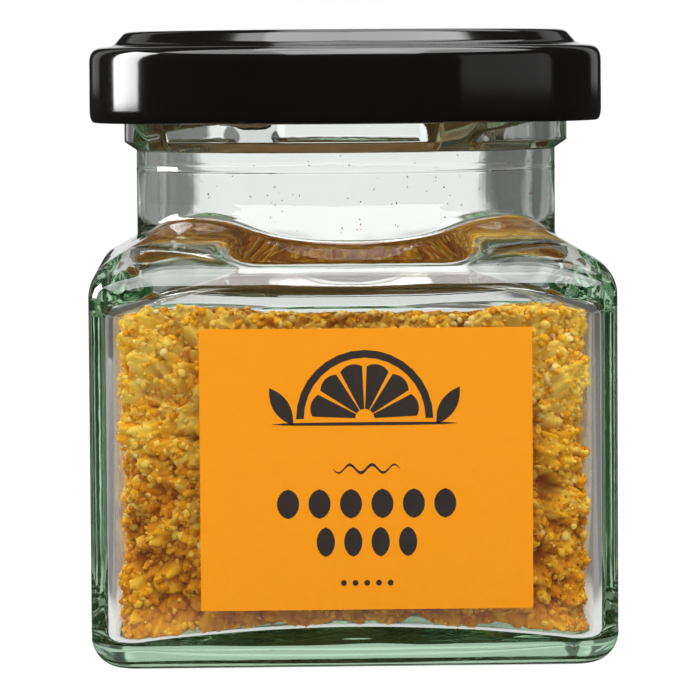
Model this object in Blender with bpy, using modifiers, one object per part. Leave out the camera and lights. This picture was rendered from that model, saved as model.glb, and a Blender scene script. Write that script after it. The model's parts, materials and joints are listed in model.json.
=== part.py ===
"""A square glass spice jar with its lid on, a paper label and dried orange peel inside.

Run it with: blender --background --python part.py
Metres, +Z up. The jar stands on z = 0 with its axis on Z, and the label is on the -Y face.
"""

import math

import bmesh
import bpy
import numpy as np

# ---- Driving dimensions, in metres and radians ---------------------------------------------

# Glass body: a square block with a hipped shoulder, like a roof with four equal slopes
BODY_HALF = 0.0278  # from the axis to a flat side
CORNER_RADIUS = 0.0050  # upright corners
HIP_RADIUS = 0.0026  # ridges where two shoulder slopes meet
FOOT_RADIUS = 0.0033
EAVE_Z = 0.04145  # where a side and its shoulder slope would meet without their rounding
EAVE_RADIUS = 0.0030
SHOULDER_PITCH = math.radians(30.2)
SLOPE_END_HALF = 0.0150  # the slopes run on to here, inside the neck

# Glass thickness: thin walls on a thick floor that is domed inside and hollow below
WALL = 0.0026
SHOULDER_THICKNESS = 0.0022
INNER_CORNER_RADIUS = 0.0026
INNER_FOOT_RADIUS = 0.0015
INNER_EAVE_RADIUS = 0.0024
FLOOR_AT_SIDE = 0.0040  # height of the inner floor at the middle of a wall
FLOOR_AT_CORNER = 0.0026
FLOOR_LOWEST = 0.0022  # where the hollow would end without its domed floor
PUSH_UP_RADIUS = 0.0195  # the hollow under the base
PUSH_UP_DEPTH = 0.0010

# Neck, transfer bead and rim
NECK_RADIUS = 0.02294
BORE_RADIUS = 0.0204
BEAD_RADIUS = 0.02426
BEAD_BOTTOM_Z = 0.0540
BEAD_TOP_Z = 0.0573
BEAD_CHAMFER = 0.0009  # height of the bead's lower slope
FINISH_CHAMFER = 0.0006
FINISH_RADIUS = 0.0236  # the glass between the thread lugs
RIM_Z = 0.0661
RIM_RADIUS = 0.0012
BORE_FLARE = 0.0050  # radius of the fillet between the bore and the shoulder

# Thread lugs: four short slanted ridges
LUG_COUNT = 4
LUG_START = math.radians(-156)  # the start of the first, from +X
LUG_SWEEP = math.radians(66)
LUG_START_Z = 0.0562
LUG_RISE = 0.0030
LUG_THICKNESS = 0.0024
LUG_POINTS = 10

# Lid: drawn tin plate with a rolled edge
LID_RADIUS = 0.02805
LID_BOTTOM_Z = 0.0570
LID_LEDGE_Z = 0.0653
LID_TOP_Z = 0.0669
LID_SHEET = 0.0005
LID_CURL_RADIUS = 0.0013
LID_CURL_WIDTH = 0.0023
LID_EDGE_RADIUS = 0.0011
LID_STEP_FOOT = 0.0255  # radius where the raised ring starts
LID_STEP_HEAD = 0.0241
LID_PANEL_EDGE = 0.0200  # the middle of the top sinks inside this radius
LID_PANEL_DROP = 0.0007

# Paper label and the peel
LABEL_WIDTH = 0.0347
LABEL_HEIGHT = 0.0294
LABEL_MIDDLE_Z = 0.0211
LABEL_ASIDE = 0.0011  # it is stuck a little to the right of the middle
LABEL_THICKNESS = 0.0002
FILL_Z = 0.0383
GAP = 0.0003  # between pieces that touch

# How finely round shapes are divided
TURN_STEPS = 60
CORNER_STEPS = 5
ARC_STEPS = 4
HEAP_CELLS = 18

# How far a cutter runs past the glass or the peel
OVERSHOOT = 0.002

SHAPES = "spice_jar"
CUTTERS = "spice_jar_cutters"


# ---- Scene, materials and objects ----------------------------------------------------------


def clear_scene():
    for thing in list(bpy.data.objects):
        bpy.data.objects.remove(thing, do_unlink=True)


def collection(name):
    found = bpy.data.collections.get(name)
    if found is None:
        found = bpy.data.collections.new(name)
        bpy.context.scene.collection.children.link(found)
    return found


def finish(name, colour, roughness, metallic=0.0, transmission=0.0):
    """A plain Principled material."""
    material = bpy.data.materials.new(name)
    material.use_nodes = True
    shader = material.node_tree.nodes["Principled BSDF"]
    shader.inputs["Base Color"].default_value = (*colour, 1.0)
    shader.inputs["Roughness"].default_value = roughness
    shader.inputs["Metallic"].default_value = metallic
    shader.inputs["Transmission Weight"].default_value = transmission
    return material


def piece(name, mesh, material):
    """A visible sub-part of the jar."""
    mesh.materials.append(material)
    mesh.shade_smooth()
    mesh.set_sharp_from_angle(angle=math.radians(35))
    made = bpy.data.objects.new(name, mesh)
    collection(SHAPES).objects.link(made)
    return made


def helper(name, mesh):
    """A shape that is cut from, or joined to, a sub-part."""
    made = bpy.data.objects.new(name, mesh)
    made.hide_render = True
    made.display_type = "WIRE"
    collection(CUTTERS).objects.link(made)
    return made


def combine(target, other, operation):
    modifier = target.modifiers.new(f"{operation.lower()} {other.name}", "BOOLEAN")
    modifier.operation = operation
    modifier.solver = "EXACT"
    modifier.object = other


# ---- Shapes --------------------------------------------------------------------------------


def arc(centre, radius, start, stop):
    """Points (r, z) of an arc in the profile plane, both ends included."""
    angles = np.linspace(start, stop, ARC_STEPS + 1)
    return [
        (centre[0] + radius * math.cos(a), centre[1] + radius * math.sin(a)) for a in angles
    ]


def rounded_square(half, radius):
    """The corners' arcs one after the other; the straight sides lie between them."""
    turns = np.linspace(0, math.pi / 2, CORNER_STEPS + 1)
    quarter = np.stack([np.cos(turns), np.sin(turns)], axis=1) * radius + (half - radius)
    ring = []
    for _ in range(4):
        ring.extend(quarter)
        quarter = np.stack([-quarter[:, 1], quarter[:, 0]], axis=1)
    return ring


def loft(name, sections):
    """A closed solid through rounded squares (half width, corner radius, z), lowest first."""
    bm = bmesh.new()
    rings = [
        [bm.verts.new((x, y, z)) for x, y in rounded_square(half, radius)]
        for half, radius, z in sections
    ]
    for low, high in zip(rings, rings[1:]):
        for i in range(len(low)):
            j = (i + 1) % len(low)
            bm.faces.new((low[i], low[j], high[j], high[i]))
    bm.faces.new(reversed(rings[0]))
    bm.faces.new(rings[-1])
    mesh = bpy.data.meshes.new(name)
    bm.to_mesh(mesh)
    bm.free()
    return mesh


def block_sections(half, foot_z, foot_radius, corner, eave_z, eave_radius, top_half):
    """Rounded foot, upright side, rounded eave, then the slope up to top_half."""
    turn = math.pi / 2 - SHOULDER_PITCH
    drop = eave_radius * math.tan(turn / 2)
    side = arc((half - foot_radius, foot_z + foot_radius), foot_radius, -math.pi / 2, 0)
    side += arc((half - eave_radius, eave_z - drop), eave_radius, 0, turn)
    side.append((top_half, eave_z + (half - top_half) * math.tan(SHOULDER_PITCH)))
    return [(w, max(HIP_RADIUS, corner - (half - w)), z) for w, z in side]


def outline(name, profile):
    """A profile (r, z) for a Screw to turn: down its outer side, from axis to axis."""
    mesh = bpy.data.meshes.new(name)
    edges = [(i, i + 1) for i in range(len(profile) - 1)]
    mesh.from_pydata([(r, 0, z) for r, z in profile], edges, [])
    return mesh


def spin(obj):
    modifier = obj.modifiers.new("turn", "SCREW")
    modifier.axis = "Z"
    modifier.angle = 2 * math.pi
    modifier.steps = TURN_STEPS
    modifier.render_steps = TURN_STEPS
    modifier.use_merge_vertices = True
    modifier.merge_threshold = 1e-6
    return obj


def inner_half():
    return BODY_HALF - WALL


def inner_eave_z():
    """Where the inner sides meet the inner slopes, which run parallel to the outer ones."""
    under = SHOULDER_THICKNESS / math.cos(SHOULDER_PITCH)
    return EAVE_Z - under + WALL * math.tan(SHOULDER_PITCH)


def dome_profile(lift=0.0):
    """The domed inner floor as a plug: a parabola through its heights at side and corner."""
    side = inner_half()
    corner = side * math.sqrt(2) - INNER_CORNER_RADIUS * (math.sqrt(2) - 1)
    fall = (FLOOR_AT_SIDE - FLOOR_AT_CORNER) / (corner**2 - side**2)
    top = FLOOR_AT_SIDE + fall * side**2 + lift
    radii = np.linspace(0, corner + 2 * OVERSHOOT, 9)
    below = -2 * OVERSHOOT
    return [(r, top - fall * r * r) for r in radii] + [(radii[-1], below), (0, below)]


# ---- Glass ---------------------------------------------------------------------------------


def lug_mesh(start):
    """One thread lug: a round bar wound up the finish, thinner at both ends.

    It runs level at first and climbs ever faster, as a power of the share of its length.
    """
    name = "thread_lug"
    curve = bpy.data.curves.new(name, "CURVE")
    curve.dimensions = "3D"
    curve.bevel_depth = LUG_THICKNESS / 2
    curve.bevel_resolution = 1
    curve.use_fill_caps = True
    spline = curve.splines.new("POLY")
    spline.points.add(LUG_POINTS - 1)
    for i, point in enumerate(spline.points):
        share = i / (LUG_POINTS - 1)
        angle = start + share * LUG_SWEEP
        x, y = FINISH_RADIUS * math.cos(angle), FINISH_RADIUS * math.sin(angle)
        point.co = (x, y, LUG_START_Z + LUG_RISE * share**1.6, 1)
        point.radius = 0.45 + 0.55 * math.sin(math.pi * share) ** 0.4
    bar = bpy.data.objects.new(name, curve)
    bpy.context.scene.collection.objects.link(bar)
    bpy.context.view_layer.update()
    graph = bpy.context.evaluated_depsgraph_get()
    mesh = bpy.data.meshes.new_from_object(bar.evaluated_get(graph))
    bpy.data.objects.remove(bar, do_unlink=True)
    bm = bmesh.new()
    bm.from_mesh(mesh)
    bmesh.ops.remove_doubles(bm, verts=bm.verts, dist=1e-6)
    bmesh.ops.recalc_face_normals(bm, faces=bm.faces)
    bm.to_mesh(mesh)
    bm.free()
    return mesh


def neck_profile():
    """Neck, bead and finish outside, from the rim down into the shoulder."""
    crown = arc((FINISH_RADIUS - RIM_RADIUS, RIM_Z - RIM_RADIUS), RIM_RADIUS, math.pi / 2, 0)
    root = EAVE_Z + SHOULDER_THICKNESS / 2
    return (
        [(0, RIM_Z)]
        + crown
        + [
            (FINISH_RADIUS, BEAD_TOP_Z + FINISH_CHAMFER),
            (BEAD_RADIUS, BEAD_TOP_Z),
            (BEAD_RADIUS, BEAD_BOTTOM_Z + BEAD_CHAMFER),
            (NECK_RADIUS, BEAD_BOTTOM_Z),
            (NECK_RADIUS, root),
            (0, root),
        ]
    )


def bore_profile():
    """The inside of the neck: rounded lip, straight bore, flared foot where the slopes start."""
    lip = (BORE_RADIUS + RIM_RADIUS, RIM_Z - RIM_RADIUS)
    above = RIM_Z + OVERSHOOT
    slope_z = inner_eave_z() + (inner_half() - BORE_RADIUS) * math.tan(SHOULDER_PITCH)
    turn = math.pi / 2 - SHOULDER_PITCH
    flare_z = slope_z + BORE_FLARE * math.tan(turn / 2)
    flare = arc((BORE_RADIUS + BORE_FLARE, flare_z), BORE_FLARE, math.pi, math.pi + turn)
    return (
        [(0, above), (lip[0], above)]
        + arc(lip, RIM_RADIUS, math.pi / 2, math.pi)
        + flare
        + [(0, flare[-1][1])]
    )


def cavity_sections(gap=0.0):
    """The hollow for the contents, or the same drawn in by a gap."""
    return block_sections(
        half=inner_half() - gap,
        foot_z=FLOOR_LOWEST + gap,
        foot_radius=INNER_FOOT_RADIUS,
        corner=INNER_CORNER_RADIUS,
        eave_z=inner_eave_z() - gap,
        eave_radius=INNER_EAVE_RADIUS,
        top_half=SLOPE_END_HALF - OVERSHOOT,
    )


def build_glass():
    """The jar: a lofted block with its neck and lugs joined on, then hollowed."""
    body = block_sections(
        half=BODY_HALF,
        foot_z=0.0,
        foot_radius=FOOT_RADIUS,
        corner=CORNER_RADIUS,
        eave_z=EAVE_Z,
        eave_radius=EAVE_RADIUS,
        top_half=SLOPE_END_HALF,
    )
    glass = finish("clear_glass", (0.84, 0.92, 0.87), 0.02, transmission=1.0)
    jar = piece("jar_glass", loft("jar_glass", body), glass)
    combine(jar, spin(helper("neck", outline("neck", neck_profile()))), "UNION")
    for k in range(LUG_COUNT):
        start = LUG_START + k * 2 * math.pi / LUG_COUNT
        combine(jar, helper(f"thread_lug_{k + 1}", lug_mesh(start)), "UNION")

    cavity = helper("cavity", loft("cavity", cavity_sections()))
    combine(cavity, spin(helper("floor_dome", outline("floor_dome", dome_profile()))), "DIFFERENCE")
    combine(jar, cavity, "DIFFERENCE")
    combine(jar, spin(helper("bore", outline("bore", bore_profile()))), "DIFFERENCE")

    sphere = (PUSH_UP_RADIUS**2 + PUSH_UP_DEPTH**2) / (2 * PUSH_UP_DEPTH)
    half_angle = math.asin(PUSH_UP_RADIUS / sphere)
    centre = (0, PUSH_UP_DEPTH - sphere)
    hollow = arc(centre, sphere, math.pi / 2, math.pi / 2 - half_angle)
    hollow += [(PUSH_UP_RADIUS, -OVERSHOOT), (0, -OVERSHOOT)]
    combine(jar, spin(helper("push_up", outline("push_up", hollow))), "DIFFERENCE")
    return jar


# ---- Lid -----------------------------------------------------------------------------------


def lid_profile():
    """Top, step, ledge, side and rolled edge outside, then the sheet's inner side back up."""
    wall = LID_RADIUS - LID_SHEET
    roll = LID_CURL_RADIUS
    curl_inner = LID_RADIUS - LID_CURL_WIDTH
    panel = LID_TOP_Z - LID_PANEL_DROP
    outer = [
        (0, panel),
        (LID_PANEL_EDGE - LID_PANEL_DROP, panel),
        (LID_PANEL_EDGE, LID_TOP_Z),
        (LID_STEP_HEAD - 0.0003, LID_TOP_Z),
        (LID_STEP_HEAD, LID_TOP_Z - 0.0002),
        (LID_STEP_FOOT - 0.0002, LID_LEDGE_Z + 0.0003),
        (LID_STEP_FOOT + 0.0002, LID_LEDGE_Z),
    ]
    edge = (LID_RADIUS - LID_EDGE_RADIUS, LID_LEDGE_Z - 0.0002 - LID_EDGE_RADIUS)
    outer += arc(edge, LID_EDGE_RADIUS, math.pi / 2, 0)
    outer += arc((LID_RADIUS - roll, LID_BOTTOM_Z + roll), roll, 0, -math.pi / 2)
    inner = [
        (curl_inner + 0.0004, LID_BOTTOM_Z + 0.0002),
        (curl_inner, LID_BOTTOM_Z + 0.0009),
        (curl_inner, LID_BOTTOM_Z + 0.0018),
        (curl_inner + 0.0005, LID_BOTTOM_Z + 0.0023),
        (wall, LID_BOTTOM_Z + 0.0028),
        (wall, LID_LEDGE_Z - 0.0013),
        (wall - 0.0008, LID_LEDGE_Z - LID_SHEET - 0.0002),
        (LID_STEP_FOOT - 0.0002, LID_LEDGE_Z - LID_SHEET),
        (LID_STEP_HEAD - 0.0004, LID_TOP_Z - LID_SHEET),
        (LID_PANEL_EDGE + 0.0002, LID_TOP_Z - LID_SHEET),
        (LID_PANEL_EDGE - LID_PANEL_DROP + 0.0002, panel - LID_SHEET),
        (0, panel - LID_SHEET),
    ]
    return outer + inner


def build_lid():
    black = finish("black_lacquer", (0.012, 0.010, 0.009), 0.12)
    return spin(piece("lid", outline("lid", lid_profile()), black))


# ---- Label and peel ------------------------------------------------------------------------


def build_label():
    """A flat sheet stuck to the front side."""
    bm = bmesh.new()
    bmesh.ops.create_cube(bm, size=1.0)
    bmesh.ops.scale(bm, vec=(LABEL_WIDTH, LABEL_THICKNESS, LABEL_HEIGHT), verts=bm.verts)
    mesh = bpy.data.meshes.new("label")
    bm.to_mesh(mesh)
    bm.free()
    label = piece("label", mesh, finish("orange_paper", (0.91, 0.315, 0.010), 0.75))
    label.location = (LABEL_ASIDE, -(BODY_HALF + GAP + LABEL_THICKNESS / 2), LABEL_MIDDLE_Z)
    return label


def heap_height(x, y):
    """The uneven top of the peel: a slow tilt with three sizes of bump on it."""
    u, v = x / BODY_HALF, y / BODY_HALF
    slow = 0.5 * u * u + 0.25 * v - 0.15 * u
    bumps = 0.42 * np.sin(5.1 * u + 1.3) * np.cos(4.3 * v - 0.4)
    bumps += 0.28 * np.sin(9.7 * u - 7.9 * v + 0.8)
    bumps += 0.20 * np.cos(13.1 * v + 6.1 * u)
    return FILL_Z + 0.001 * (slow + bumps)


def heap_top_mesh():
    """A block whose underside is the uneven top: everything above it is cut off the peel."""
    bm = bmesh.new()
    reach = BODY_HALF + OVERSHOOT
    bmesh.ops.create_grid(bm, x_segments=HEAP_CELLS, y_segments=HEAP_CELLS, size=reach)
    for vert in bm.verts:
        vert.co.z = heap_height(vert.co.x, vert.co.y)
    lifted = bmesh.ops.extrude_face_region(bm, geom=bm.faces[:])
    for vert in lifted["geom"]:
        if isinstance(vert, bmesh.types.BMVert):
            vert.co.z = BEAD_BOTTOM_Z
    bmesh.ops.recalc_face_normals(bm, faces=bm.faces)
    mesh = bpy.data.meshes.new("heap_top")
    bm.to_mesh(mesh)
    bm.free()
    return mesh


def build_peel():
    """The granulated peel as one mass: the hollow's own shape, drawn in and cut to its level."""
    dry = finish("dried_orange_peel", (0.55, 0.28, 0.035), 0.8)
    peel = piece("peel", loft("peel", cavity_sections(GAP)), dry)
    floor = spin(helper("peel_floor", outline("peel_floor", dome_profile(GAP))))
    combine(peel, floor, "DIFFERENCE")
    combine(peel, helper("heap_top", heap_top_mesh()), "DIFFERENCE")
    return peel


clear_scene()
build_glass()
build_lid()
build_label()
build_peel()
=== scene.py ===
# %% [markdown]
# # A square spice jar of dried orange peel
# The real thing is four pieces: a moulded glass jar, a black tin-plate lid, a paper label and
# the crumbled peel that fills the glass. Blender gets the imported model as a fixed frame, and
# every piece below is built in metres in that frame, so a size written here is a real size.

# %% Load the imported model
import json
import math

import bpy
import numpy as np
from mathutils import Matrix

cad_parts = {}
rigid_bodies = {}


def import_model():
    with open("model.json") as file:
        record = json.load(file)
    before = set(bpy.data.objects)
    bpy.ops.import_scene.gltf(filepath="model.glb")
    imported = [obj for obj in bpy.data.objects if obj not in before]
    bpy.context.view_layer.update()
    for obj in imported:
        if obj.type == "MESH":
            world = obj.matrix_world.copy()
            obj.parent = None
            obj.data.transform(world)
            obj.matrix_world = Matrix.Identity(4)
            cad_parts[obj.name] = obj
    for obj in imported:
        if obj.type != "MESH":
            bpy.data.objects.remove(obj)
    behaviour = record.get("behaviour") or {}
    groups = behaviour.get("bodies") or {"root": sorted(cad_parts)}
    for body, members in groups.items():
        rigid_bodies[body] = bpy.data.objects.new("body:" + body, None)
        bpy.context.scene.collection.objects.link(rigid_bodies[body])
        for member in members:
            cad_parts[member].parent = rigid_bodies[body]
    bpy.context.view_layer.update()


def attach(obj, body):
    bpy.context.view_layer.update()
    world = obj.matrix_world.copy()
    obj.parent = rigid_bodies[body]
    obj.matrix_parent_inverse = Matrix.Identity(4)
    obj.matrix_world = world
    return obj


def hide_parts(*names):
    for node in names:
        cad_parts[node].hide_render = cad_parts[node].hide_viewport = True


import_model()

# %% [markdown]
# ## Meshes from arrays
# Each surface below is a grid of points worked out with numpy as whole arrays. A jar, a lid
# and a heap in a jar can all be drawn as rings one above the other, each ring with the same
# number of points, and one point at each end to close it. Modelling by hand, or spinning a
# profile, would also give the round pieces, but not the square shoulder that runs into a
# round neck, which is why the rings are computed.


# %% Put arrays into a mesh object
def mesh_object(name, points, *face_arrays):
    """An object of points (n, 3) and faces, each face array being (m, 3) or (m, 4) numbers."""
    mesh = bpy.data.meshes.new(name)
    corners = np.concatenate([faces.ravel() for faces in face_arrays])
    sizes = np.concatenate([np.full(len(faces), faces.shape[1]) for faces in face_arrays])
    starts = np.cumsum(sizes) - sizes
    mesh.vertices.add(len(points))
    mesh.vertices.foreach_set("co", points.astype(np.float32).ravel())
    mesh.loops.add(len(corners))
    mesh.loops.foreach_set("vertex_index", corners.astype(np.int32))
    mesh.polygons.add(len(sizes))
    mesh.polygons.foreach_set("loop_start", starts.astype(np.int32))
    mesh.update(calc_edges=True)
    mesh.validate()
    mesh.shade_smooth()
    made = bpy.data.objects.new(name, mesh)
    bpy.context.scene.collection.objects.link(made)
    return made


def ring_faces(rows, columns):
    """Faces of a closed shell: point 0, then rows of columns points, then one last point.

    Ring i, column j is point 1 + i * columns + j. Seen from outside, a shell whose rings
    climb its outer side has its faces turned outwards.
    """
    grid = 1 + np.arange(rows * columns).reshape(rows, columns)
    turned = np.roll(grid, -1, axis=1)
    sides = np.stack([grid[:-1], turned[:-1], turned[1:], grid[1:]], axis=-1).reshape(-1, 4)
    first = np.stack([np.zeros(columns, int), turned[0], grid[0]], axis=-1)
    last = np.stack([np.full(columns, rows * columns + 1), grid[-1], turned[-1]], axis=-1)
    return sides, np.concatenate([first, last])


def turned_shell(name, radius, height, turn, ends):
    """A closed shell of rings: radius and height are (rows, columns), ends are two heights.

    Point = (radius * cos turn, radius * sin turn, height), and the ends lie on the axis.
    """
    radius, height = np.broadcast_arrays(radius, height)
    rows, columns = radius.shape
    rings = np.stack([radius * np.cos(turn), radius * np.sin(turn), height], axis=-1)
    points = np.concatenate([[[0, 0, ends[0]]], rings.reshape(-1, 3), [[0, 0, ends[1]]]])
    return mesh_object(name, points, *ring_faces(rows, columns))


def report(obj):
    """Prints how many triangles an object has and the sides of its box."""
    mesh = obj.data
    triangles = sum(len(face.vertices) - 2 for face in mesh.polygons)
    spans = np.ptp(np.array([corner[:] for corner in obj.bound_box]), axis=0) * 1000
    print(f"{obj.name}: {triangles} triangles, {np.round(spans, 2)} mm")


# %% [markdown]
# ## Squares with round corners
# The body's plan is a square with rounded corners. In polar form a ring needs the distance
# from the axis to that outline in every direction, and the shoulder needs the opposite: for a
# point, the half width of the rounded square that passes through it. Both have exact formulas.


# %% Rounded squares, in polar form
def square_reach(half, corner, turn):
    """Distance from the axis to a rounded square, in each direction.

    On a flat side it is half / max(|cos|, |sin|). On a corner it is the far root of
    |reach * direction - centre of the corner's arc| = corner.
    """
    long, short = np.abs(np.cos(turn)), np.abs(np.sin(turn))
    long, short = np.maximum(long, short), np.minimum(long, short)
    centre = half - corner
    side = half / long
    along = (long + short) * centre
    arc = along + np.sqrt(np.maximum(along**2 - 2 * centre**2 + corner**2, 0))
    return np.where(side * short <= centre, side, arc)


def square_half(x, y, corner):
    """Half width of the rounded square through a point: the opposite of square_reach."""
    long, short = np.maximum(np.abs(x), np.abs(y)), np.minimum(np.abs(x), np.abs(y))
    gap = np.minimum(long - short, corner)
    arc = corner + (long + short - np.sqrt(2 * corner**2 - gap**2)) / 2
    return np.where(long - short >= corner, long, arc)


def column_turns(columns, half, corner, bend_share=0.5):
    """Directions for the columns of a ring, closer together round the corners.

    A step counts bend_share for its share of the outline's turning and the rest for its share
    of the outline's length, and the columns are spread evenly over that count.
    """
    fine = np.linspace(-math.pi, math.pi, 14401)
    reach = square_reach(half, corner, fine)
    x, y = reach * np.cos(fine), reach * np.sin(fine)
    step = np.hypot(np.diff(x), np.diff(y))
    heading = np.unwrap(np.arctan2(np.diff(y), np.diff(x)))
    bend = np.abs(np.diff(heading, append=heading[-1]))
    share = (1 - bend_share) * step / step.sum() + bend_share * bend / bend.sum()
    count = np.concatenate([[0], np.cumsum(share)])
    spread = np.linspace(0, count[-1], columns, endpoint=False)
    return np.interp(spread, count, fine)


example_reach = float(square_reach(0.0272, 0.0036, math.pi / 4))
print("reach to a corner:", round(1000 * example_reach, 2), "mm")

# %% [markdown]
# ## The jar's sizes
# The glass is a square block with a roof of four slopes, a round neck with a bead under the
# lid, and four short slanted thread lugs. Inside, its floor is domed, and the walls are 2.5 mm.
# The sizes of the outside come first, and those of the inside after them.

# %% Sizes of the body's outside
BODY_HALF = 0.0278
CORNER_RADIUS = 0.0050
HIP_RADIUS = 0.0085  # ridges where two slopes of the roof meet
FOOT_RADIUS = 0.0033
PUSH_UP_RADIUS = 0.0195  # the shallow hollow under the base
PUSH_UP_DEPTH = 0.0010
EAVE_Z = 0.04145  # where a side and its slope would meet without their rounding
EAVE_RADIUS = 0.0044
SHOULDER_PITCH = math.radians(30.2)
SLOPE = math.tan(SHOULDER_PITCH)
FILLET_RUN = 0.00076  # the fillet between slope and neck: its width
FILLET_RISE = 0.00053
STREAK_DEPTH = 0.000012  # level streaks that the mould leaves near the base
STREAK_DRIFT = 5000
STREAKS_END_Z = 0.0075
print("body:", round(2000 * BODY_HALF, 1), "mm square, eaves at", round(1000 * EAVE_Z, 1), "mm")

# %% Sizes of the neck
NECK_RADIUS = 0.02294
SEAM_Z = 0.0519  # the mould's seam round the neck
SEAM_WIDTH = 0.0001
SEAM_HEIGHT = 0.00004
BEAD_RADIUS = 0.02426
BEAD_BOTTOM_Z = 0.0540
BEAD_TOP_Z = 0.0573
BEAD_CHAMFER = 0.0009
FINISH_RADIUS = 0.0236  # the glass above the bead, which the lid covers
FINISH_CHAMFER = 0.0006
RIM_Z = 0.0661
RIM_RADIUS = 0.0012
LUG_COUNT = 4
LUG_START = math.radians(-161)
LUG_SWEEP = math.radians(64)
LUG_EDGE_Z = 0.0561
LUG_RISE = 0.0026
LUG_REACH = 0.0012
LUG_LEAN = 0.52  # how far a flank leans out per unit of height
LUG_FLANK_SHARE = 0.2  # the part of a lug that stands under the bead's edge
print("rim at", round(1000 * RIM_Z, 1), "mm, bead", round(2000 * BEAD_RADIUS, 1), "mm across")

# %% Sizes of the inside
WALL = 0.0025
INNER_CORNER_RADIUS = 0.0026
FLOOR_AT_SIDE = 0.0040  # height of the domed floor at the middle of a wall
FLOOR_AT_CORNER = 0.0026
INNER_FOOT_RADIUS = 0.0012
INNER_FOOT_LIFT = 0.0003
KNEE_Z = 0.03667  # where the upright wall begins to bend inwards
KNEE_RADIUS = 0.00394
KNEE_PITCH = math.radians(38.5)
THROAT_PITCH = math.radians(29.2)
THROAT_CUT = 0.0023  # the curve into the bore: how far down the slope it starts
THROAT_RISE = 0.0070
CORNER_PACE = 1.2  # how soon the square has become a circle
BORE_RADIUS = 0.0205

INNER_HALF = BODY_HALF - WALL
inner_corner_reach = float(square_reach(INNER_HALF, INNER_CORNER_RADIUS, math.pi / 4))
FLOOR_FALL = (FLOOR_AT_SIDE - FLOOR_AT_CORNER) / (inner_corner_reach**2 - INNER_HALF**2)
FLOOR_TOP = FLOOR_AT_SIDE + FLOOR_FALL * INNER_HALF**2
print("inner floor is highest at", round(1000 * FLOOR_TOP, 2), "mm")

# %% [markdown]
# ## Rows of the jar
# Each helper gives some rows of the jar's skin, lowest first, as a radius and a height for
# every column. Where the straight slope meets the round neck, the corner point is different
# for each direction, so the fillet there is a small curve through three points: a point on
# the slope, the corner, and a point on the neck.


# %% Rows for an edge and for a curve between two lines
def eave_arc(half, eave_z, radius, steps):
    """Half widths and heights of the rounding between an upright side and a slope."""
    bend = math.pi / 2 - SHOULDER_PITCH
    drop = radius * math.tan(bend / 2)
    angles = np.linspace(0, bend, steps)[:, None]
    return half - radius + radius * np.cos(angles), eave_z - drop + radius * np.sin(angles)


def square_rows(half, height, turn):
    """Rounded squares up the eave, whose corners go from the body's radius to the hips'."""
    share = (half[0, 0] - half) / (half[0, 0] - half[-1, 0])
    corner = CORNER_RADIUS + (HIP_RADIUS - CORNER_RADIUS) * share
    return square_reach(half, corner, turn), np.broadcast_to(height, (len(half), len(turn)))


def bend_rows(start, middle, stop, steps):
    """A curve from start to stop that leaves towards middle and arrives from it.

    At share s it is (1-s)^2 * start + 2s(1-s) * middle + s^2 * stop.
    """
    s = np.linspace(0, 1, steps)[:, None]
    return tuple(
        (1 - s) ** 2 * a + 2 * s * (1 - s) * b + s**2 * c
        for a, b, c in zip(start, middle, stop)
    )


eave_heights = eave_arc(BODY_HALF, EAVE_Z, EAVE_RADIUS, 2)[1]
print("the eave is rounded over", round(1000 * float(np.ptp(eave_heights)), 2), "mm of height")


# %% Rows of the slope, and uneven glass
def slope_and_fillet(start_half, turn, steps):
    """The slope from start_half to the round neck, with a fillet of steps rows into it.

    On the slope, height = EAVE_Z + (BODY_HALF - half) * tan(pitch).
    """
    def height_of(half):
        return EAVE_Z + (BODY_HALF - half) * SLOPE

    def half_at(reach):
        return square_half(reach * np.cos(turn), reach * np.sin(turn), HIP_RADIUS)

    foot_half, corner_half = half_at(NECK_RADIUS + FILLET_RUN), half_at(NECK_RADIUS)
    share = np.linspace(0, 1, 9)[1:, None]
    half = start_half + (foot_half - start_half) * share
    slope = square_reach(half, HIP_RADIUS, turn), height_of(half)
    corner_z = height_of(corner_half)
    neck = NECK_RADIUS + 0 * turn
    fillet = bend_rows(
        (slope[0][-1], slope[1][-1]), (neck, corner_z), (neck, corner_z + FILLET_RISE), steps
    )
    return [slope, (fillet[0][1:], fillet[1][1:])]


def waves(turn, height, seed, strength, steepest=60):
    """Uneven glass: a sum of slow ripples round the jar that drift with height.

    The drift is up to steepest radians per metre, so a large value gives level streaks.
    """
    rng = np.random.default_rng(seed)
    total = 0
    for lobes in (2, 3, 5, 8, 13, 21):
        phase, drift = rng.uniform(0, 2 * math.pi), rng.uniform(-steepest, steepest)
        total = total + np.sin(lobes * turn + phase + drift * height) / lobes**0.5
    return strength * total


streak = waves(np.linspace(0, 2 * math.pi, 99), 0.005, 5, STREAK_DEPTH, STREAK_DRIFT)
print("streaks stand", round(1e6 * float(np.abs(streak).max())), "micrometres off the side")


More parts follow.
